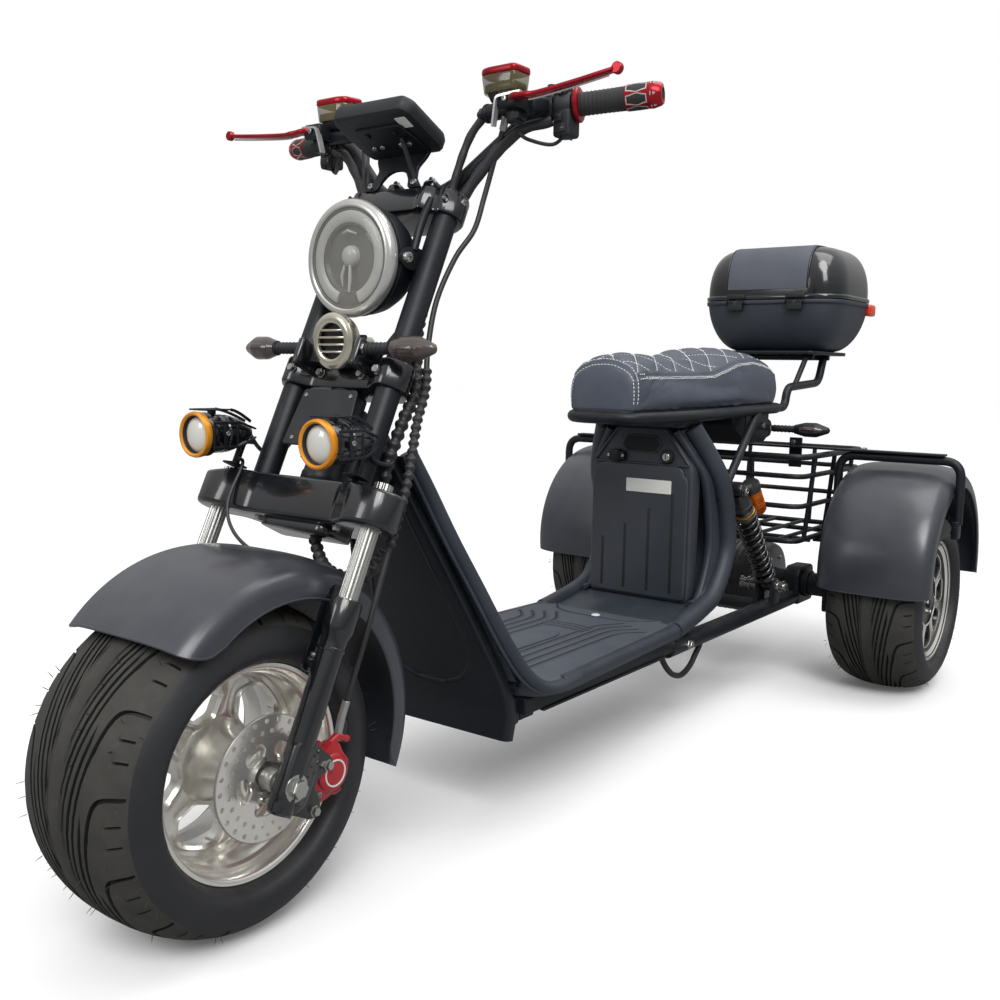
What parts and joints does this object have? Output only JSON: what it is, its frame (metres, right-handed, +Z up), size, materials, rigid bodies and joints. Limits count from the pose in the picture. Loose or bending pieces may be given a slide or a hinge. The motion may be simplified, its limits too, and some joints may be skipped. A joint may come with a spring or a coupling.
{
  "type": "three-wheeled electric scooter",
  "caption": "Cargo electric tricycle scooter: raked twin-tube fork with wide front tyre, low deck, upright battery, long stitched seat, wire basket and lidded top case.",
  "frame": {"origin": "on the floor under the middle of the overall length and width", "axes": "+X forward, +Y to the rider's left, +Z up"},
  "size_m": [2.247, 1.0506, 1.14],
  "materials": {
    "black_paint": "satin",
    "grey_paint": "satin",
    "deck_mat": "matt, ribbed",
    "tub_moulding": "matt",
    "battery_shell": "semi-gloss",
    "seat_leather": "grained, stitched",
    "red_lens": "clear moulded",
    "amber_lens": "clear moulded",
    "motor_casting": "cast",
    "shock_parts": "gloss spring",
    "case_base": "fine texture",
    "case_lid": "gloss",
    "cable": "satin",
    "chrome": "polished",
    "steel": "brushed",
    "red_anodised": "anodised",
    "grip_rubber": "ribbed",
    "silver_alloy": "machined",
    "black_alloy": "black and machined",
    "clear_lens": "clear",
    "tyre": "matt"
  },
  "bodies": {
    "frame": {"neck": "black_paint", "deck_frame": "black_paint", "footboard": "deck_mat", "side_rolls": "tub_moulding", "battery_tub": "tub_moulding", "battery": "battery_shell", "seat_frame": "black_paint", "seat": "seat_leather", "tail_box": "black_paint", "tail_lamp": "red_lens", "rear_signals": "amber_lens", "rear_frame": "black_paint", "axle_beam": "black_paint", "drive_motor": "motor_casting", "axle_plates": "motor_casting", "shock_mount": "black_paint", "shocks": "shock_parts", "rear_mudguards": "grey_paint", "mudguard_hoops": "black_paint", "cross_strap": "black_paint", "basket_floor": "black_paint", "basket_walls": "black_paint", "case_rack": "black_paint", "case_base": "case_base", "case_reflectors": "red_lens", "motor_lead": "cable"},
    "steering": {"fork_sliders": "black_paint", "fork_tubes": "chrome", "fork_bridge": "black_paint", "steering_stem": "steel", "upper_tubes": "black_paint", "upper_yoke": "black_paint", "top_clamp": "black_paint", "front_axle": "steel", "front_mudguard": "grey_paint", "front_caliper": "red_anodised", "bar_clamps": "black_paint", "handlebar": "black_paint", "grips": "grip_rubber", "lever_brackets": "silver_alloy", "brake_levers": "red_anodised", "switch_boxes": "battery_shell", "display": "battery_shell", "display_stay": "black_paint", "headlight_bucket": "black_alloy", "headlight_rim": "chrome", "headlight_lens": "clear_lens", "headlight_arms": "black_paint", "horn": "chrome", "front_signals": "amber_lens", "spotlights": "black_alloy", "brake_hose": "cable"},
    "front_wheel": {"front_tyre": "tyre", "front_rim": "silver_alloy", "front_disc": "steel"},
    "rear_left_wheel": {"rear_left_tyre": "tyre", "rear_left_rim": "black_alloy"},
    "rear_right_wheel": {"rear_right_tyre": "tyre", "rear_right_rim": "black_alloy"},
    "lid": {"case_lid": "case_lid"}
  },
  "joints": [
    {"name": "steer", "type": "hinge", "parent": "frame", "child": "steering", "pos_m": [0.87942, 0, 0.20408], "axis": [-0.4305, 0, 0.9026], "range_deg": [-38, 38]},
    {"name": "front_spin", "type": "hinge", "parent": "steering", "child": "front_wheel", "pos_m": [0.9065, 0, 0.217], "axis": [0, 1, 0], "continuous": true},
    {"name": "rear_left_spin", "type": "hinge", "parent": "frame", "child": "rear_left_wheel", "pos_m": [-0.7835, 0.375, 0.213], "axis": [0, 1, 0], "continuous": true},
    {"name": "rear_right_spin", "type": "hinge", "parent": "frame", "child": "rear_right_wheel", "pos_m": [-0.7835, -0.375, 0.213], "axis": [0, 1, 0], "continuous": true},
    {"name": "lid_hinge", "type": "hinge", "parent": "frame", "child": "lid", "pos_m": [-0.8145, 0, 0.912], "axis": [0, 1, 0], "range_deg": [0, 80]}
  ]
}
